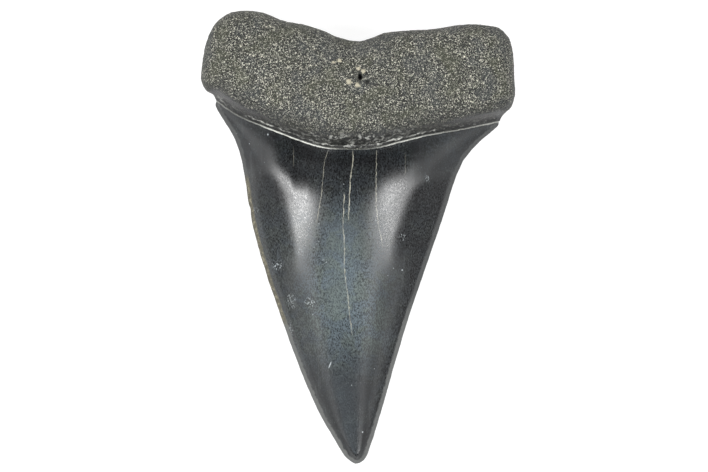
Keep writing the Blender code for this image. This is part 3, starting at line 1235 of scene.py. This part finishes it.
@dataclass(frozen=True)
class EnamelFinish:
    """Dark fossil enamel with a silky, faintly streaked surface, hairline cracks and small scuffs. Its paler bluish
    panel down the middle and its paler left flank are partly the enamel's own tone and partly painted sheen, and its
    pale glints are painted highlights.
    """

    dark: Colour = (0.0062, 0.0067, 0.0077)
    # The bluish and greenish tones: partly the enamel's own colour, and partly painted sheen on the middle panel and
    # the left flank.
    pale: Colour = (0.070, 0.092, 0.104)
    green: Colour = (0.078, 0.098, 0.090)
    glint_and_streak: Colour = (0.085, 0.092, 0.096)
    # Colour of the painted glints and of the faint streaks.
    filling: Colour = (0.46, 0.44, 0.36)
    dust: Colour = (0.38, 0.41, 0.42)
    panel_middle: float = -1.0
    panel_width: float = 7.4
    roughness: tuple = (0.25, 0.40)
    shoulder_rougher: float = 0.32
    crest_rougher: float = 0.38
    silk_height: Place = (0.004, 0.009)
    cracks: tuple[Crack, ...] = (
        Crack(((-0.6, 10.3), (-0.66, 8.8), (-0.9, 7.1), (-1.08, 3.8), (-1.16, 2.0)), 0.9),
        Crack(((-1.64, 5.2), (-1.75, 1.1), (-1.6, -1.4), (-1.64, -3.3), (-1.49, -4.85), (-1.27, -6.4),
               (-1.08, -8.45), (-0.94, -9.55), (-0.8, -10.9), (-0.65, -12.1)), 0.8, 0.048, 2.4),
        Crack(((-3.6, 10.3), (-3.96, 9.2), (-4.2, 6.65), (-4.5, 4.25), (-4.8, 2.8), (-5.04, 1.5)), 0.55, 0.042, 1.6),
        Crack(((2.22, 10.3), (2.16, 8.0), (2.2, 3.65), (2.42, 1.75), (2.76, 0.06), (3.0, -1.5)), 0.65, 0.045, 1.8),
        Crack(((5.64, 9.9), (5.64, 8.6), (5.6, 7.3)), 0.25, 0.04),
        Crack(((-7.7, 10.8), (-7.72, 9.6), (-7.74, 8.4)), 0.28, 0.04),
    )
    scuffs: tuple[Scuff, ...] = (
        Scuff((-3.36, -15.2), (0.55, 0.09), 68.0, 0.9, True),
        Scuff((8.3, 7.1), (0.3, 0.55), 20.0, 1.0),
        Scuff((5.3, 0.1), (0.55, 0.5), 0.0, 0.8),
        Scuff((5.3, -3.85), (0.12, 0.12), 0.0, 0.9, True),
        Scuff((0.55, -23.3), (0.11, 0.11), 0.0, 1.0, True),
        Scuff((-10.8, 12.4), (0.12, 0.14), 0.0, 0.9, True),
        Scuff((-12.4, 3.3), (0.5, 0.45), 0.0, 0.8),
        Scuff((-9.7, -3.2), (0.7, 0.8), 0.0, 0.9),
        Scuff((-6.9, -1.7), (0.5, 0.6), 30.0, 0.7),
        Scuff((-3.9, -2.9), (0.6, 0.5), 0.0, 0.6),
        Scuff((-8.0, -7.6), (0.7, 1.1), 10.0, 0.75),
        Scuff((-5.8, -7.7), (0.8, 0.7), 0.0, 0.75),
        Scuff((-4.9, -0.7), (0.12, 0.8), -38.0, 0.5),
        Scuff((-8.0, -10.9), (0.35, 0.9), 0.0, 0.8),
    )

    def surface(self, graph: Graph) -> Surface:
        """Builds the enamel.

        Args:
            graph: The material's nodes.

        Returns:
            The enamel's colour, roughness and height.
        """
        x, y = graph.x, graph.y
        silk = graph.noise(8.0, 2.0, 0.65, place=graph.stretched(1.0, 0.5, 1.0))
        clouds = graph.noise(0.3, 3.0, 0.5, 0.4)
        patches = graph.noise(0.55, 2.0, 0.5, 0.8)
        streaks = graph.noise(1.0, 3.0, 0.6, place=graph.stretched(2.6, 0.14, 1.0))
        # Painted sheen: the pale tones are laid thickest on a panel down the middle (panel), faded out under the
        # neck and towards the tip (lower), and a little on the left flank (left). This is partly the enamel's own
        # bluish-grey colour and partly painted sheen standing in for the soft reflection that these parts catch.
        off = graph.math("ABSOLUTE", graph.math("SUBTRACT", x, self.panel_middle))
        panel = graph.span(off, 0.0, self.panel_width, 1.0, 0.0)
        lower = graph.times(graph.span(y, 9.0, -5.0), graph.span(y, -18.0, -9.0))
        left = graph.times(graph.span(x, -1.0, -5.0), graph.span(y, 6.0, 0.0), graph.span(y, -19.0, -9.0), 0.14)
        share = graph.plus(graph.times(panel, lower, 0.65), left, graph.span(clouds, 0.35, 0.7, 0.0, 0.1))
        colour = graph.paint(share, self.dark, graph.paint(graph.span(patches, 0.42, 0.6), self.pale, self.green))
        colour = graph.paint(1.0, colour, graph.span(silk, 0.38, 0.62, 0.25, 2.0), "MULTIPLY")
        # Painted highlights: pale glints where the silk noise peaks, brightest on some patches.
        glints = graph.times(graph.span(silk, 0.6, 0.7), graph.span(patches, 0.35, 0.6, 0.1, 0.55))
        colour = graph.paint(glints, colour, self.glint_and_streak)
        colour = graph.paint(graph.span(streaks, 0.56, 0.72, 0.0, 0.16), colour, self.glint_and_streak)
        specks = graph.span(graph.cells(0.8), 0.035, 0.06, 0.75, 0.0)
        specks = graph.times(specks, graph.span(graph.noise(0.9, 1.0, 0.5), 0.5, 0.6))
        colour = graph.paint(specks, colour, self.dust)
        for scuff in self.scuffs:
            colour = graph.paint(scuff.mask(graph, silk), colour, self.dust)
        wander = graph.noise(1.4, 3.0, 0.65)
        on_top = graph.span(graph.z, 1.6, 2.2)
        for crack in self.cracks:
            cover = graph.times(crack.mask(graph, wander), on_top)
            colour = graph.paint(cover, colour, self.filling)
        worn = graph.span(y, -1.0, -10.0)
        shoulders = graph.plus(graph.span(x, -9.0, -11.5), graph.span(x, 5.5, 8.0))
        shoulders = graph.times(shoulders, graph.span(graph.mask("past"), -6.0, -4.0), self.shoulder_rougher)
        silky = graph.span(silk, 0.3, 0.7, *self.roughness)
        crests = graph.times(graph.mask("crest"), self.crest_rougher)
        roughness = graph.plus(silky, shoulders, crests)
        fresh_height, worn_height = self.silk_height
        grain = graph.mix(worn, fresh_height * MM, worn_height * MM)
        height = graph.times(graph.math("SUBTRACT", silk, 0.5), grain)
        return Surface(colour, roughness, height)


@dataclass(frozen=True)
class BoneFinish:
    """The root's dull olive-grey bone: a fine tangle of grains and pores with pale specks. Its rim and its nutrient
    pits carry painted shade.
    """

    # The darkest colour: pores in the grain, and painted shade in the nutrient pits.
    pore_and_pit_shade: Colour = (0.006, 0.006, 0.005)
    body: Colour = (0.014, 0.015, 0.0125)
    grain: Colour = (0.064, 0.067, 0.055)
    speck: Colour = (0.72, 0.70, 0.57)
    olive: Colour = (0.055, 0.058, 0.030)
    cold: Colour = (0.034, 0.040, 0.046)
    crumb: Colour = (0.50, 0.46, 0.34)
    scale: float = 6.4
    grain_height: float = 0.09

    def surface(self, graph: Graph) -> Surface:
        """Builds the bone.

        Args:
            graph: The material's nodes.

        Returns:
            The bone's colour, roughness and height.
        """
        tangle = graph.noise(self.scale, 2.0, 0.6, 1.1)
        stops = ((0.42, self.pore_and_pit_shade), (0.485, self.body), (0.565, self.grain), (0.65, self.speck))
        colour = graph.ramp(tangle, stops)
        clouds = graph.noise(0.3, 3.0, 0.55, 0.4)
        colour = graph.paint(graph.span(clouds, 0.5, 0.68, 0.0, 0.4), colour, self.olive)
        colour = graph.paint(graph.span(clouds, 0.5, 0.34, 0.0, 0.4), colour, self.cold)
        # Painted shade: within about a millimetre of the root's edge the colour is pulled towards the dark body
        # colour, standing in for the shade on the rounded edge.
        rim = graph.span(graph.mask("depth"), 0.2, 1.4, 0.35, 0.0)
        colour = graph.paint(rim, colour, self.body)
        crumbs = graph.plus(graph.mask("crumb"), graph.span(tangle, 0.35, 0.65, -0.3, 0.2))
        colour = graph.paint(graph.span(crumbs, 0.3, 0.55, 0.0, 0.9), colour, self.crumb)
        # Painted shade: the nutrient pits are filled with the darkest colour, standing in for the shade inside them.
        pits = graph.plus(graph.mask("pit"), graph.span(tangle, 0.35, 0.65, -0.2, 0.1))
        colour = graph.paint(graph.span(pits, 0.3, 0.6, 0.0, 0.9), colour, self.pore_and_pit_shade)
        height = graph.times(graph.math("SUBTRACT", tangle, 0.5), self.grain_height * MM)
        return Surface(colour, graph.span(tangle, 0.3, 0.7, 0.8, 0.6), height)


@dataclass(frozen=True)
class NeckFinish:
    """The line where enamel meets root: a pale lip, loose strands above it and a torn band. Painted shade darkens
    the groove past the lip, the root just past the neck and the torn band, painted glints dot the band, and the
    lip's pale line is partly a painted highlight.
    """

    # Colour of the lip line, which is partly a painted highlight, and of the strands above it.
    lip: Colour = (0.62, 0.62, 0.57)
    # Colour of the painted glints in the torn band.
    band_glint: Colour = (0.46, 0.46, 0.42)
    shade: Colour = (0.012, 0.012, 0.012)
    smooth: Colour = (0.058, 0.058, 0.064)
    lip_width: float = 0.085
    upper_line: Place = (0.42, 0.07)
    smooth_sides: Place = (9.5, 12.5)
    band_roughness: float = 0.36
    side_roughness: float = 0.45
    reach: float = 18.0
    lip_by_x: Points = (
        (-17.2, 0.35), (-12.2, 0.4), (-10.8, 0.9), (-8.0, 1.0), (-4.5, 0.9), (-3.2, 0.35), (2.5, 0.3),
        (4.4, 0.85), (7.4, 0.8), (8.8, 0.5), (17.0, 0.55),
    )
    upper_by_x: Points = (
        (-17.2, 0.3), (-13.4, 0.2), (-12.4, 0.7), (-9.6, 0.7), (-8.0, 0.5), (-2.6, 0.45), (1.5, 0.5),
        (4.2, 0.9), (8.6, 0.65), (9.8, 0.1), (17.0, 0.0),
    )

    def line(self, graph: Graph, past: Socket, at: float, width: float) -> Socket:
        """A thin line at this distance past the neck, in millimetres."""
        off = graph.math("ABSOLUTE", graph.math("SUBTRACT", past, at))
        return graph.span(off, width * 0.4, width * 1.4, 1.0, 0.0)

    def over(self, graph: Graph, surface: Surface) -> Surface:
        """Lays the neck's marks, with their painted shade and painted highlights, over the surface.

        Args:
            graph: The material's nodes.
            surface: The surface without the marks.

        Returns:
            The surface with them.
        """
        x = graph.x
        fray = graph.noise(1.6, 3.0, 0.65)
        coarse = graph.noise(1.9, 2.0, 0.55, 0.7)
        past = graph.plus(graph.mask("past"), graph.span(fray, 0.3, 0.7, -0.03, 0.03))
        beside = graph.span(graph.math("ABSOLUTE", x), *self.smooth_sides)
        side = graph.times(beside, graph.span(past, 1.0, 1.7, 1.0, 0.0), graph.span(past, 0.0, 0.1))
        colour = graph.paint(graph.times(side, 0.55), surface.colour, self.smooth)
        # Painted shade: a dark strip just past the neck line, in the groove above the lip.
        dark = graph.times(graph.span(past, 0.02, 0.12), graph.span(past, 0.3, 0.75, 1.0, 0.0), 0.9)
        colour = graph.paint(dark, colour, self.shade)
        # Painted shade: a fainter darkening over the root for a few millimetres past the neck.
        dusk = graph.times(graph.span(past, 0.2, 0.5), graph.span(past, 1.0, 3.2, 0.6, 0.0))
        colour = graph.paint(dusk, colour, self.shade)
        # Painted shade: the torn band is darkened throughout.
        band = graph.mask("band")
        colour = graph.paint(graph.times(band, 0.75), colour, self.shade)
        # Painted highlights: pale glints on the lumps of the torn band.
        glint = graph.times(band, graph.span(coarse, 0.54, 0.62))
        colour = graph.paint(graph.times(glint, 0.75), colour, self.band_glint)
        upper = self.line(graph, past, *self.upper_line)
        upper = graph.times(upper, graph.curve(x, self.upper_by_x, -self.reach, self.reach))
        upper = graph.times(upper, graph.span(coarse, 0.4, 0.58, 0.1, 1.0))
        colour = graph.paint(upper, colour, self.lip)
        # The lip's pale line is partly the enamel edge's own cream colour and partly a painted highlight where the
        # raised edge catches the light, whitest on the left.
        lip = self.line(graph, past, 0.0, self.lip_width)
        lip = graph.times(lip, graph.curve(x, self.lip_by_x, -self.reach, self.reach))
        lip = graph.times(lip, graph.span(fray, 0.3, 0.5, 0.75, 1.0))
        colour = graph.paint(lip, colour, self.lip)
        roughness = graph.mix(band, surface.roughness, self.band_roughness)
        roughness = graph.mix(graph.times(side, 0.7), roughness, self.side_roughness)
        return Surface(colour, roughness, surface.height)


@dataclass(frozen=True)
class EdgeFinish:
    """The worn cutting edges: a pale bevel towards the tip, partly worn colour and partly a painted reflection of
    the bright surroundings, and a chipped, browned stretch on the left.
    """

    # The bevel's pale grey is partly the worn edge's colour and partly a painted reflection of the bright
    # surroundings.
    bevel: Colour = (0.115, 0.118, 0.113)
    brown: Colour = (0.085, 0.075, 0.045)
    cream: Colour = (0.22, 0.20, 0.14)
    width: float = 0.48
    roughness: float = 0.55
    chipped: Place = (-9.5, 6.5)

    def over(self, graph: Graph, surface: Surface) -> Surface:
        """Lays the worn edge over the surface.

        Args:
            graph: The material's nodes.
            surface: The surface without it.

        Returns:
            The surface with it.
        """
        x, y = graph.x, graph.y
        fray = graph.noise(2.2, 3.0, 0.65)
        depth = graph.plus(graph.mask("depth"), graph.span(fray, 0.3, 0.7, -0.08, 0.08))
        strip = graph.span(depth, self.width * 0.8, self.width * 1.15, 1.0, 0.0)
        low, high = self.chipped
        stretch = graph.times(graph.span(y, low - 1.5, low), graph.span(y, high, high + 1.5, 1.0, 0.0))
        stretch = graph.times(stretch, graph.span(x, -0.1, 0.1, 1.0, 0.0))
        # Painted reflection as well as wear: the bevel strip turns paler towards the tip.
        pale = graph.times(strip, graph.span(y, -6.0, -11.0, 0.35, 0.9))
        colour = graph.paint(pale, surface.colour, self.bevel)
        colour = graph.paint(graph.times(strip, stretch, 0.8), colour, self.brown)
        flecks = graph.times(strip, stretch, graph.span(fray, 0.5, 0.62, 0.0, 0.9))
        colour = graph.paint(flecks, colour, self.cream)
        return Surface(colour, graph.mix(strip, surface.roughness, self.roughness), surface.height)


@dataclass
class ToothFinish:
    """The one material of the tooth, which changes from enamel to bone across the neck."""

    enamel: EnamelFinish = EnamelFinish()
    edge: EdgeFinish = EdgeFinish()
    bone: BoneFinish = BoneFinish()
    neck: NeckFinish = NeckFinish()
    ior: float = 1.55

    def dress(self, obj: bpy.types.Object) -> None:
        """Gives the tooth its material.

        Args:
            obj: The tooth.
        """
        material = bpy.data.materials.new("fossil_enamel_and_bone")
        graph = Graph(material)
        enamel = self.edge.over(graph, self.enamel.surface(graph))
        bone = self.bone.surface(graph)
        on_bone = graph.span(graph.mask("past"), -0.06, 0.06)
        both = Surface(
            graph.paint(on_bone, enamel.colour, bone.colour),
            graph.mix(on_bone, enamel.roughness, bone.roughness),
            graph.mix(on_bone, enamel.height, bone.height),
        )
        whole = self.neck.over(graph, both)
        graph.feed(graph.shader.inputs["Base Color"], whole.colour)
        graph.feed(graph.shader.inputs["Roughness"], whole.roughness)
        graph.shader.inputs["IOR"].default_value = self.ior
        bump = graph.node("ShaderNodeBump")
        bump.inputs["Distance"].default_value = 1.0
        graph.feed(bump.inputs["Height"], whole.height)
        graph.feed(graph.shader.inputs["Normal"], bump.outputs[0])
        obj.data.materials.append(material)


@dataclass(frozen=True)
class Softbox:
    """A rectangular studio light, placed by its direction from the tooth.

    bearing runs anticlockwise from +X and tilt down from overhead, in degrees. width and depth are in metres.
    """

    name: str
    bearing: float
    tilt: float
    width: float
    depth: float
    radiance: float
    colour: Colour = (1.0, 1.0, 1.0)
    distance: float = 0.5

    def build(self) -> None:
        """Hangs the light, aimed at the tooth, with its width level."""
        lamp = bpy.data.lights.new(self.name, "AREA")
        lamp.shape = "RECTANGLE"
        lamp.size, lamp.size_y = self.width, self.depth
        lamp.energy = self.radiance * math.pi * self.width * self.depth
        lamp.color = self.colour
        light = bpy.data.objects.new(self.name, lamp)
        bearing, tilt = math.radians(self.bearing), math.radians(self.tilt)
        out = Vector((math.cos(bearing) * math.sin(tilt), math.sin(bearing) * math.sin(tilt), math.cos(tilt)))
        light.location = out * self.distance
        light.rotation_euler = out.to_track_quat("Z", "Y").to_euler()
        bpy.context.scene.collection.objects.link(light)


@dataclass
class Studio:
    """Plain white surroundings with a soft light on each side."""

    lights: tuple[Softbox, ...] = (
        Softbox("left_softbox", 189.0, 46.0, 0.19, 0.15, 27.5),
        Softbox("right_softbox", -17.0, 45.5, 0.18, 0.15, 22.0),
        Softbox("near_fill", -90.0, 24.5, 0.34, 0.11, 3.2, (0.86, 1.0, 1.1)),
        Softbox("back_fill", 90.0, 64.0, 0.60, 0.20, 3.1),
    )
    floor_radius: float = 3.0
    floor_corners: int = 64
    floor_roughness: float = 0.9
    floor_drop: float = 0.02
    floor_colour: Colour = (0.2, 0.2, 0.2)
    floor_glow: float = 0.9
    backdrop: float = 1.0
    ambience: float = 0.11

    def build(self) -> None:
        """Makes the floor, the world and the lights."""
        self.floor()
        self.world()
        for light in self.lights:
            light.build()
        bpy.context.scene.view_settings.view_transform = "Standard"

    def floor(self) -> None:
        """A round pale floor, just under the tooth."""
        turns = np.linspace(0, 2 * np.pi, self.floor_corners, endpoint=False)
        ring = [(self.floor_radius * np.cos(a), self.floor_radius * np.sin(a), 0.0) for a in turns]
        mesh = bpy.data.meshes.new("floor")
        mesh.from_pydata(ring, [], [list(range(len(ring)))])
        floor = bpy.data.objects.new("floor", mesh)
        floor.location.z = -self.floor_drop * MM
        bpy.context.scene.collection.objects.link(floor)
        material = bpy.data.materials.new("white_table")
        material.use_nodes = True
        shader = material.node_tree.nodes["Principled BSDF"]
        shader.inputs["Base Color"].default_value = (*self.floor_colour, 1.0)
        shader.inputs["Roughness"].default_value = self.floor_roughness
        shader.inputs["Emission Color"].default_value = (1.0, 1.0, 1.0, 1.0)
        shader.inputs["Emission Strength"].default_value = self.floor_glow
        mesh.materials.append(material)

    def world(self) -> None:
        """A white backdrop for the eye, and a dimmer glow for the surfaces."""
        world = bpy.data.worlds.new("studio")
        bpy.context.scene.world = world
        world.use_nodes = True
        nodes, links = world.node_tree.nodes, world.node_tree.links
        back = nodes["Background"]
        back.inputs["Color"].default_value = (1.0, 1.0, 1.0, 1.0)
        path = nodes.new("ShaderNodeLightPath")
        strength = nodes.new("ShaderNodeMapRange")
        strength.inputs["To Min"].default_value = self.ambience
        strength.inputs["To Max"].default_value = self.backdrop
        links.new(path.outputs["Is Camera Ray"], strength.inputs["Value"])
        links.new(strength.outputs[0], back.inputs["Strength"])


@dataclass(frozen=True)
class OverheadCamera:
    """A long lens straight above the tooth, framed as the photograph is."""

    picture: tuple[int, int] = (708, 472)
    tooth_middle: Place = (358.0, 238.0)
    mm_per_pixel: float = 0.12
    lens: float = 200.0
    sensor: float = 36.0
    subject_height: float = 3.3
    clipping: Place = (0.01, 10.0)

    def build(self) -> None:
        """Sets the camera up as the scene's own."""
        data = bpy.data.cameras.new("overhead")
        data.lens = self.lens
        data.sensor_width = self.sensor
        width = self.picture[0] * self.mm_per_pixel
        distance = self.lens / self.sensor * width
        camera = bpy.data.objects.new("overhead", data)
        camera.location = (
            (self.picture[0] / 2 - self.tooth_middle[0]) * self.mm_per_pixel * MM,
            (self.tooth_middle[1] - self.picture[1] / 2) * self.mm_per_pixel * MM,
            (self.subject_height + distance) * MM,
        )
        data.clip_start, data.clip_end = self.clipping
        bpy.context.scene.collection.objects.link(camera)
        bpy.context.scene.camera = camera


def main() -> None:
    """Builds the tooth, the studio and the camera."""
    logging.basicConfig(level=logging.INFO, format="%(message)s")
    tooth = ToothMesh().build()
    ToothFinish().dress(tooth)
    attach(tooth, "root")
    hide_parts(TOOTH_NODE)
    log.info("%s: %d points, %d faces", tooth.name, len(tooth.data.vertices), len(tooth.data.polygons))
    Studio().build()
    OverheadCamera().build()


if __name__ == "__main__":
    main()
